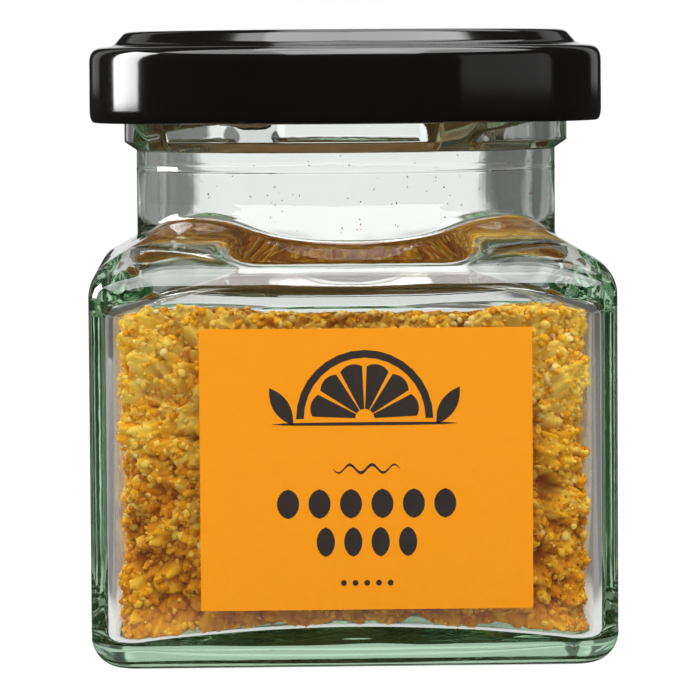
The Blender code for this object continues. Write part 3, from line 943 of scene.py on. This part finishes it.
def skin_places(count, sizes, share_under, rng):
    """Places on the rough skin, share_under of a crumb's size inside it, and their painted shade.

    SHARE_ON_TOP of them are on the top, evenly over its area, and the rest are on the sides.
    """
    side_rows = np.arange(FLOOR_ROWS, FLOOR_ROWS + SIDE_ROWS)
    top_rows = np.arange(FLOOR_ROWS + SIDE_ROWS, SKIN_ROWS)
    weight = top_share[:, 0] ** 1.5
    on_top = rng.random(count) < SHARE_ON_TOP
    top_row = rng.choice(top_rows, count, p=weight / weight.sum())
    row = np.where(on_top, top_row, rng.choice(side_rows, count))
    column = rng.integers(0, SKIN_COLUMNS, count)
    places = rough_skin[row, column]
    inward = np.where(on_top[:, None], [0, 0, -1], (middle - places) * [1, 1, 0])
    inward /= np.linalg.norm(inward, axis=1, keepdims=True)
    # A crumb takes 0.6 of the skin's painted shade where it lies.
    return places + inward * (sizes * share_under)[:, None], 0.6 * skin_sunk[row, column]


crumbs = []
for kind, count, seed in (("golden", 9800, 32), ("pale", 2600, 33), ("amber", 4000, 34)):
    rng = np.random.default_rng(seed)
    sizes = 0.00026 + 0.00046 * rng.random(count) ** 1.5
    places, sunk = skin_places(count, sizes, 0.40, rng)
    crumbs.append(strew(f"peel_crumbs_{kind}", places, sizes, sunk, crumb_shape_set, seed + 10))
    report(crumbs[-1])

GRAIN_COUNT = 8000
rng = np.random.default_rng(35)
grain_sizes = rng.uniform(0.00013, 0.00030, GRAIN_COUNT)
places, sunk = skin_places(GRAIN_COUNT, grain_sizes, 0.0, rng)
grains = strew("peel_grains", places, grain_sizes, sunk, crumb_shape_set, 45)
report(grains)

# %% [markdown]
# ## Dust in the neck
# A few specks of peel cling to the inside of the neck above the fill.

# %% Strew the dust
DUST_COUNT = 150
DUST_RING = BORE_RADIUS - 0.00004
rng = np.random.default_rng(8)
dust_turn = rng.uniform(-math.pi, math.pi, DUST_COUNT)
dust_z = rng.uniform(0.0445, 0.0535, DUST_COUNT)
dust_places = np.stack([DUST_RING * np.cos(dust_turn), DUST_RING * np.sin(dust_turn), dust_z], -1)
dust_sizes = rng.uniform(0.00005, 0.00012, DUST_COUNT)
dust_turns = random_turns(DUST_COUNT, rng)
variants, faces = crumb_shape_set
dust_points = variants[rng.integers(0, CRUMB_VARIANTS, DUST_COUNT)]
dust_points = np.einsum("nij,npj->npi", dust_turns, dust_points)
dust_points = dust_places[:, None] + dust_points * dust_sizes[:, None, None]
dust_faces = faces[None] + variants.shape[1] * np.arange(DUST_COUNT)[:, None, None]
dust = mesh_object("peel_dust", dust_points.reshape(-1, 3), dust_faces.reshape(-1, 3))
report(dust)

# %% [markdown]
# ## Materials
# Effects that several finishes use are node groups, built once: a mottle for uneven colour
# and fine dust specks. A group gives only masks and values; the shader stays in the material.


# %% Node helpers
def new_group(name, inputs, outputs):
    """A shader node group with float inputs (name, value) and float outputs."""
    tree = bpy.data.node_groups.new(name, "ShaderNodeTree")
    sockets = tree.interface
    for key, value in inputs:
        socket = sockets.new_socket(key, in_out="INPUT", socket_type="NodeSocketFloat")
        socket.default_value = value
    for key in outputs:
        sockets.new_socket(key, in_out="OUTPUT", socket_type="NodeSocketFloat")
    return tree, tree.nodes.new("NodeGroupInput"), tree.nodes.new("NodeGroupOutput")


def add(tree, kind, links=(), **settings):
    """A node with its settings, whose inputs are linked or set: links maps input to value."""
    node = tree.nodes.new(kind)
    for key, value in settings.items():
        setattr(node, key, value)
    for key, value in dict(links).items():
        if isinstance(value, bpy.types.NodeSocket):
            tree.links.new(value, node.inputs[key])
        else:
            node.inputs[key].default_value = value
    return node


def maths(tree, operation, *values, clamp=False):
    """The result of a Math node on sockets or numbers."""
    node = add(tree, "ShaderNodeMath", enumerate(values), operation=operation, use_clamp=clamp)
    return node.outputs[0]


def smooth_step(tree, value, low, high):
    """0 up to low, 1 from high, and s^2 (3 - 2s) between them."""
    inputs = {0: value, 1: low, 2: high}
    return add(tree, "ShaderNodeMapRange", inputs, interpolation_type="SMOOTHSTEP").outputs[0]


def ramp(tree, factor, stops):
    """The colour output of a Color Ramp: stops are (position, colour)."""
    node = add(tree, "ShaderNodeValToRGB", {0: factor})
    elements = node.color_ramp.elements
    while len(elements) < len(stops):
        elements.new(0.5)
    for element, (position, colour) in zip(elements, stops):
        element.position, element.color = position, (*colour, 1)
    return node.outputs["Color"]


def mix_value(tree, factor, first, second):
    """The output of a Mix node on two values."""
    node = add(tree, "ShaderNodeMix", {0: factor, 2: first, 3: second}, data_type="FLOAT")
    return node.outputs[0]


def mix_colour(tree, factor, first, second):
    """The output of a Mix node on two colours."""
    node = add(tree, "ShaderNodeMix", {0: factor, 6: first, 7: second}, data_type="RGBA")
    return node.outputs[2]


def mix_shader(tree, factor, first, second):
    """The output of a Mix Shader node."""
    return add(tree, "ShaderNodeMixShader", {0: factor, 1: first, 2: second}).outputs[0]


# %% Helpers for a finish
INPUT_NAMES = {
    "roughness": "Roughness", "metallic": "Metallic", "ior": "IOR",
    "specular": "Specular IOR Level", "transmission": "Transmission Weight",
}


def finish_of(name, **inputs):
    """A material, its nodes and its Principled BSDF, whose inputs get the values given."""
    material = bpy.data.materials.new(name)
    material.use_nodes = True
    shader = material.node_tree.nodes["Principled BSDF"]
    for key, value in inputs.items():
        shader.inputs[INPUT_NAMES[key]].default_value = value
    return material, material.node_tree, shader


def paint(tree, shader, colour):
    """Links a colour to a finish."""
    tree.links.new(colour, shader.inputs["Base Color"])


def bumped(tree, shader, height, strength, distance):
    """Gives a finish a fine relief, by a Bump node on a height."""
    inputs = {"Height": height, "Strength": strength, "Distance": distance}
    bump = add(tree, "ShaderNodeBump", inputs)
    tree.links.new(bump.outputs[0], shader.inputs["Normal"])


# %% The mottle group: uneven tone on two scales
mottle, mottle_in, mottle_out = new_group("mottle", [("Scale", 200.0), ("Share", 0.5)], ["Value"])
place = add(mottle, "ShaderNodeTexCoord").outputs["Object"]


def noise(scale, detail):
    """Noise on Object coordinates, in the mottle group."""
    inputs = {"Vector": place, "Scale": scale, "Detail": detail}
    return add(mottle, "ShaderNodeTexNoise", inputs).outputs[0]


broad_scale = mottle_in.outputs["Scale"]
broad = noise(broad_scale, 3.0)
close = noise(maths(mottle, "MULTIPLY", broad_scale, 4.3), 2.0)
mixed = mix_value(mottle, mottle_in.outputs["Share"], broad, close)
mottle.links.new(mixed, mottle_out.inputs["Value"])
print("mottle group:", len(mottle.nodes), "nodes")

# %% The specks group: a small dot in a few of the cells of a grid of random points
specks, specks_in, specks_out = new_group(
    "specks", [("Scale", 300.0), ("Size", 0.05), ("Share", 0.2)], ["Mask"]
)
spot = add(specks, "ShaderNodeTexCoord").outputs["Object"]
inputs = {"Vector": spot, "Scale": specks_in.outputs["Scale"]}
scatter = add(specks, "ShaderNodeTexVoronoi", inputs)
lottery = add(specks, "ShaderNodeSeparateColor", {0: scatter.outputs["Color"]})
near = maths(specks, "LESS_THAN", scatter.outputs["Distance"], specks_in.outputs["Size"])
drawn = maths(specks, "LESS_THAN", lottery.outputs[0], specks_in.outputs["Share"])
specks.links.new(maths(specks, "MULTIPLY", near, drawn), specks_out.inputs["Mask"])
print("specks group:", len(specks.nodes), "nodes")


def use_group(tree, group, **values):
    """A group placed in a material with its own values."""
    node = tree.nodes.new("ShaderNodeGroup")
    node.node_tree = group
    for key, value in values.items():
        node.inputs[key.capitalize()].default_value = value
    return node.outputs[0]


# %% [markdown]
# ## Glass
# Soda-lime glass is nearly clear in a thin wall and green where the light runs along it, so
# the colour is an absorption inside the closed mesh and not a tint of the surface. Light that
# has to reach the peel passes straight through: for shadow rays and for light scattered by the
# peel the surface is transparent, which costs no noise and no lost light.

# %% The glass material
glass_finish, tree, shader = finish_of("jar_glass", roughness=0.0, ior=1.5, transmission=1.0)
shader.inputs["Base Color"].default_value = (1, 1, 1, 1)
bumped(tree, shader, use_group(tree, mottle, scale=120.0, share=0.15), 0.12, 0.0002)
path = add(tree, "ShaderNodeLightPath").outputs
clear = add(tree, "ShaderNodeBsdfTransparent", {"Color": (0.98, 1.0, 0.985, 1)}).outputs[0]
seen = mix_shader(tree, path["Is Diffuse Ray"], shader.outputs[0], clear)
shade = add(tree, "ShaderNodeBsdfTransparent", {"Color": (0.93, 0.95, 0.935, 1)}).outputs[0]
lit = mix_shader(tree, path["Is Shadow Ray"], seen, shade)
output = tree.nodes["Material Output"]
tree.links.new(lit, output.inputs["Surface"])
body = add(tree, "ShaderNodeVolumeAbsorption", {"Color": (0.28, 0.62, 0.32, 1), "Density": 20.0})
tree.links.new(body.outputs[0], output.inputs["Volume"])
glass.data.materials.append(glass_finish)
print("glass finish:", len(tree.nodes), "nodes")

# %% [markdown]
# ## Lacquer
# The lid's black lacquer is smooth and nearly black, with an even gloss and a few specks of
# dust. The gold lacquer inside is a thin varnish over tin.

# %% The lid's two lacquers
black, tree, shader = finish_of("black_lacquer")
dust_mask = use_group(tree, specks, scale=420.0, size=0.055, share=0.10)
JET, DUST = (0.0050, 0.0043, 0.0036, 1), (0.16, 0.14, 0.12, 1)
paint(tree, shader, mix_colour(tree, dust_mask, JET, DUST))
uneven = use_group(tree, mottle, scale=90.0, share=0.3)
tree.links.new(maths(tree, "MULTIPLY_ADD", uneven, 0.06, 0.06), shader.inputs["Roughness"])
bumped(tree, shader, uneven, 0.05, 0.0002)

gold, tree, shader = finish_of("gold_lacquer", metallic=0.4, roughness=0.45)
uneven = use_group(tree, mottle, scale=150.0, share=0.5)
paint(tree, shader, ramp(tree, uneven, [(0.3, (0.30, 0.19, 0.08)), (0.7, (0.42, 0.28, 0.13))]))
print("lacquers:", black.name, "and", gold.name)

# %% Gold on the inside of the lid and black on the rest
lid.data.materials.append(gold)
lid.data.materials.append(black)
inner_rows = len(lid_inside) - 2
side_count = (len(lid_path) - 1) * LID_COLUMNS
is_black = np.zeros(len(lid.data.polygons), np.int32)
is_black[:side_count] = np.arange(side_count) // LID_COLUMNS > inner_rows
is_black[side_count + LID_COLUMNS:] = 1  # the fan that closes the top
lid.data.polygons.foreach_set("material_index", is_black)
print("black faces of the lid:", int(is_black.sum()), "of", len(is_black))

# %% [markdown]
# ## Paper and ink
# The label is matt orange paper with a faint tooth, and the print is near black.

# %% Paper and ink
paper, tree, shader = finish_of("orange_paper", roughness=0.75, specular=0.08)
tooth = use_group(tree, mottle, scale=900.0, share=0.5)
stops = [(0.3, (0.900, 0.306, 0.0095)), (0.7, (0.930, 0.326, 0.0110))]
paint(tree, shader, ramp(tree, tooth, stops))
bumped(tree, shader, tooth, 0.15, 0.00004)
label.data.materials.append(paper)

ink, tree, shader = finish_of("dark_ink", roughness=0.6)
tooth = use_group(tree, mottle, scale=900.0, share=0.5)
stops = [(0.3, (0.010, 0.006, 0.004)), (0.7, (0.022, 0.013, 0.008))]
paint(tree, shader, ramp(tree, tooth, stops))
label_print.data.materials.append(ink)
print("label finishes:", paper.name, "and", ink.name)

# %% [markdown]
# ## Peel
# Every crumb has its own tone, from ochre through gold to pale pith, and each is mottled. The
# colour also holds painted shade, which turns it red-brown deep in the creases, on the top under
# the lid and at the middle of the front's top edge, and painted light that makes it paler towards
# the top.

# %% Finishes of the peel
# The red-brown of the painted shade, which the peel's colour turns to where that shade is
# strongest.
PAINTED_SHADE_RED = (0.34, 0.070, 0.002)


def peel_finish(name, stops):
    """Colour from the crumb's tone, mottled, and mixed towards red-brown by the painted shade."""
    material, tree, shader = finish_of(name, roughness=0.75, specular=0.08)
    tone = add(tree, "ShaderNodeAttribute", attribute_name="tone").outputs["Fac"]
    sunk = add(tree, "ShaderNodeAttribute", attribute_name="sunk").outputs["Fac"]
    patch = use_group(tree, mottle, scale=900.0, share=0.45)
    swing = maths(tree, "MULTIPLY_ADD", patch, 0.9, -0.45)
    colour = ramp(tree, maths(tree, "ADD", tone, swing, clamp=True), stops)
    # Painted shade: the colour is mixed towards red-brown by the shade value that each point
    # carries.
    deep = maths(tree, "MULTIPLY", maths(tree, "POWER", sunk, 1.3, clamp=True), 0.9)
    paint(tree, shader, mix_colour(tree, deep, colour, (*PAINTED_SHADE_RED, 1)))
    bumped(tree, shader, use_group(tree, mottle, scale=2200.0, share=0.5), 0.8, 0.00012)
    return material


OCHRE, GOLD, STRAW = (0.90, 0.39, 0.012), (1.0, 0.52, 0.028), (1.0, 0.65, 0.115)
AMBER, RUST, PITH = (0.80, 0.30, 0.006), (0.54, 0.16, 0.004), (1.0, 0.78, 0.30)
golden = peel_finish("peel_golden", [(0.15, AMBER), (0.34, OCHRE), (0.56, GOLD), (0.82, STRAW)])
pale = peel_finish("peel_pale", [(0.0, GOLD), (0.55, STRAW), (1.0, PITH)])
amber = peel_finish("peel_amber", [(0.0, RUST), (0.35, AMBER), (0.7, OCHRE), (1.0, GOLD)])
for obj in quarters:
    obj.data.materials.append(golden)
for obj, material in zip([*crumbs, grains, dust], [golden, pale, amber, golden, amber]):
    obj.data.materials.append(material)
    print(obj.name, "is", material.name)

# %% [markdown]
# ## The pieces and the frame
# Every piece rides on the model's one body, and the imported solid that it stands for is hidden.

# %% Ride on the body, and hide the imported solids that the pieces replace
for obj, node, slot in (
    (glass, "jar_glass", "clear_glass"),
    (lid, "lid", "black_lacquer"),
    (label, "label", "orange_paper"),
    *((piece, "peel", "dried_peel") for piece in quarters),
):
    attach(obj, "root")
    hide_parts(node)
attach(label_print, "root")
for obj in [*crumbs, grains, dust]:
    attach(obj, "root")
print("pieces of peel:", len(quarters) + len(crumbs) + 2)

# %% [markdown]
# ## Surroundings
# Clear glass shows only what is around it. The jar stands on a pale floor, with a white
# backdrop behind it and grey cards beside the backdrop, which draw the dark lines along the
# glass. The world gives each kind of ray its part: white to the camera, an even grey to
# matt surfaces, and the backdrop with its cards to rays that went through or off the glass.

# %% The surround group: how bright the room is in each direction
surround = bpy.data.node_groups.new("surround", "ShaderNodeTree")
surround.interface.new_socket("Direction", in_out="INPUT", socket_type="NodeSocketVector")
surround.interface.new_socket("Through", in_out="OUTPUT", socket_type="NodeSocketFloat")
surround.interface.new_socket("Mirrored", in_out="OUTPUT", socket_type="NodeSocketFloat")
group_in, group_out = surround.nodes.new("NodeGroupInput"), surround.nodes.new("NodeGroupOutput")
unit = add(surround, "ShaderNodeVectorMath", {0: group_in.outputs[0]}, operation="NORMALIZE")
axis = add(surround, "ShaderNodeSeparateXYZ", {0: unit.outputs[0]})
bearing = maths(surround, "ARCTAN2", axis.outputs[0], axis.outputs[1])
rise = maths(surround, "ARCSINE", axis.outputs[2])


def between(value, low, high, soft):
    """1 between two values and 0 outside, with soft edges."""
    up = smooth_step(surround, value, low - soft, low + soft)
    down = smooth_step(surround, value, high - soft, high + soft)
    return maths(surround, "SUBTRACT", up, down)


def panel(middle, half_width, low, high, strength):
    """A soft-edged panel, in degrees: a bearing, its half width and its heights."""
    turned = maths(surround, "SUBTRACT", bearing, math.radians(middle))
    away = maths(surround, "ABSOLUTE", maths(surround, "WRAP", turned, math.pi, -math.pi))
    wide = between(away, -10.0, math.radians(half_width), math.radians(1.2))
    tall = between(rise, math.radians(low), math.radians(high), math.radians(1.5))
    return maths(surround, "MULTIPLY", maths(surround, "MULTIPLY", wide, tall), strength)


# %% The panels: bearing, half width, lowest, highest, and what each adds to the level
THROUGH_PANELS = [
    (0.6, 8.8, -95, 30, 0.58), (0.6, 8.8, -95, 5, 0.32),
    (15.5, 4.5, -95, 22, -0.14), (27.5, 6, -95, 22, 0.13), (55, 19, -95, 22, -0.14),
    (-33, 9, -95, 22, 0.06), (-68, 14, -95, 22, -0.14), (180, 65, -95, 24, -0.23),
    (0, 180, 34, 95, -0.15),
]
MIRRORED_PANELS = [
    (30.3, 6.5, -60, 40, 0.32), (-26.7, 6.5, -60, 40, 0.32), (103, 26, -30, 20, 0.50),
    (1.8, 8, -60, 30, 0.8), (180, 110, 36, 88, 5.0),
]
THROUGH_LEVEL, MIRRORED_LEVEL = 0.27, 0.02  # where there is no panel
for key, panels, level in (
    ("Through", THROUGH_PANELS, THROUGH_LEVEL),
    ("Mirrored", MIRRORED_PANELS, MIRRORED_LEVEL),
):
    for values in panels:
        level = maths(surround, "ADD", panel(*values), level)
    surround.links.new(level, group_out.inputs[key])
print("surround group:", len(surround.nodes), "nodes")

# %% The world
world = bpy.data.worlds.new("studio")
bpy.context.scene.world = world
world.use_nodes = True
tree = world.node_tree
AMBIENT = 0.38
direction = add(tree, "ShaderNodeTexCoord").outputs["Generated"]
path = add(tree, "ShaderNodeLightPath").outputs
room = add(tree, "ShaderNodeGroup", {0: direction}, node_tree=surround).outputs
level = mix_value(tree, path["Is Glossy Ray"], AMBIENT, room["Mirrored"])
level = mix_value(tree, path["Is Transmission Ray"], level, room["Through"])
level = mix_value(tree, path["Is Camera Ray"], level, 1.0)
tree.links.new(level, tree.nodes["Background"].inputs["Color"])
tree.nodes["Background"].inputs["Strength"].default_value = 1.0
print("world:", len(tree.nodes), "nodes")

# %% [markdown]
# ## Floor
# A plain pale floor that keeps a soft shadow. To the camera and through the glass most of its
# brightness is its own, so that it ends white, and the rest comes from the light that falls.
# Away from the jar the glass shows it as bright as the backdrop above it.

# %% The floor
FLOOR_REACH = 12.0
FLOOR_BELOW = 0.00005
NEAR, FAR = 0.050, 0.085
OWN_SHARE = 0.82
corners = FLOOR_REACH * np.array([(-1, -1, 0), (1, -1, 0), (1, 1, 0), (-1, 1, 0)])
floor = mesh_object("floor", corners - [0, 0, FLOOR_BELOW], np.array([[0, 1, 2, 3]]))
floor_finish, tree, shader = finish_of("pale_floor", roughness=0.9, specular=0.0)
speckle = use_group(tree, mottle, scale=30.0, share=0.4)
paint(tree, shader, ramp(tree, speckle, [(0.3, (0.44, 0.44, 0.44)), (0.7, (0.46, 0.46, 0.46))]))
path = add(tree, "ShaderNodeLightPath").outputs
spot = add(tree, "ShaderNodeTexCoord").outputs["Object"]
room = add(tree, "ShaderNodeGroup", {0: spot}, node_tree=surround).outputs
distance = add(tree, "ShaderNodeVectorMath", {0: spot}, operation="LENGTH").outputs["Value"]
far = smooth_step(tree, distance, NEAR, FAR)
through = mix_value(tree, far, 0.9, room["Through"])
bright = mix_value(tree, far, 1.15, 1.2)
glow = mix_value(tree, path["Is Camera Ray"], through, bright)
mirrored = maths(tree, "SUBTRACT", path["Is Glossy Ray"], path["Is Transmission Ray"])
glow = mix_value(tree, mirrored, glow, MIRRORED_LEVEL)
own = add(tree, "ShaderNodeEmission", {"Color": glow}).outputs[0]
seen = maths(tree, "MAXIMUM", path["Is Camera Ray"], path["Is Transmission Ray"])
share = maths(tree, "MAXIMUM", maths(tree, "MULTIPLY", seen, OWN_SHARE), mirrored)
mix = mix_shader(tree, share, shader.outputs[0], own)
tree.links.new(mix, tree.nodes["Material Output"].inputs["Surface"])
floor.data.materials.append(floor_finish)
print("floor:", len(tree.nodes), "nodes")

# %% [markdown]
# ## Lamps
# One large softbox high in front gives most of the light, one overhead and one high behind
# fill in, and a narrow upright strip behind the jar on the left draws the bright line on the
# lid.


# %% Softboxes
LAMP_AIM_Z = 0.033


def softbox(name, bearing_deg, rise_deg, distance, size, radiance):
    """A rectangular lamp turned to the jar, whose power is radiance * area * pi.

    It isn't seen through the glass, where the surround already draws every bright place.
    """
    data = bpy.data.lights.new(name, "AREA")
    data.shape = "RECTANGLE"
    data.size, data.size_y = size
    data.energy = radiance * size[0] * size[1] * math.pi
    lamp = bpy.data.objects.new(name, data)
    bpy.context.scene.collection.objects.link(lamp)
    turn, lift = math.radians(bearing_deg), math.radians(rise_deg)
    level = math.cos(lift)
    back = np.array([math.sin(turn) * level, math.cos(turn) * level, math.sin(lift)])
    lamp.location = np.array([0, 0, LAMP_AIM_Z]) + back * distance
    lamp.rotation_mode = "QUATERNION"
    lamp.rotation_quaternion = lamp.location.copy().normalized().to_track_quat("Z", "Y")
    lamp.visible_transmission = False
    print(f"{name}: {data.energy:.2f} W")


softbox("front_softbox", 178, 50, 0.75, (0.75, 0.42), 4.0)
softbox("overhead_softbox", 120, 84, 0.60, (0.55, 0.55), 3.2)
softbox("back_softbox", 20, 52, 0.90, (0.60, 0.30), 2.2)
softbox("left_strip", -64.2, 17.7, 0.60, (0.23, 0.36), 11.5)

# %% [markdown]
# ## Camera
# A long lens half a metre away, level with the lid and a little to the left of the label.

# %% The camera
LENS_MM, SENSOR_MM = 231.43, 36
CAMERA_YAW = math.radians(1.8)
CAMERA_DISTANCE = 0.495
CAMERA_HEIGHT = 0.0631
CAMERA_PITCH = math.radians(3.62)
CAMERA_ROLL = math.radians(0.4)
AIM_ASIDE = 0.00055
camera_data = bpy.data.cameras.new("camera")
camera_data.sensor_width, camera_data.lens = SENSOR_MM, LENS_MM
camera_data.clip_start, camera_data.clip_end = 0.01, 20
camera = bpy.data.objects.new("camera", camera_data)
bpy.context.scene.collection.objects.link(camera)
right = np.array([math.cos(CAMERA_YAW), -math.sin(CAMERA_YAW)])
backwards = -np.array([math.sin(CAMERA_YAW), math.cos(CAMERA_YAW)])
stand = CAMERA_DISTANCE * backwards + AIM_ASIDE * right
camera.location = (*stand, CAMERA_HEIGHT)
camera.rotation_euler = (math.pi / 2 - CAMERA_PITCH, CAMERA_ROLL, -CAMERA_YAW)
bpy.context.scene.camera = camera
print("camera sees", round(math.degrees(2 * math.atan(SENSOR_MM / 2 / LENS_MM)), 2), "degrees")
bpy.context.scene.view_settings.view_transform = "Standard"

# %% [markdown]
# Light that runs along a glass wall is reflected inside it many times before it comes out, and
# a path that is cut short is black, so the paths are let run further than by default.

# %% How often light may bounce
light_paths = bpy.context.scene.cycles
light_paths.max_bounces = 32
light_paths.glossy_bounces = 28
light_paths.transmission_bounces = 28
light_paths.transparent_max_bounces = 16
print("bounces:", light_paths.max_bounces)
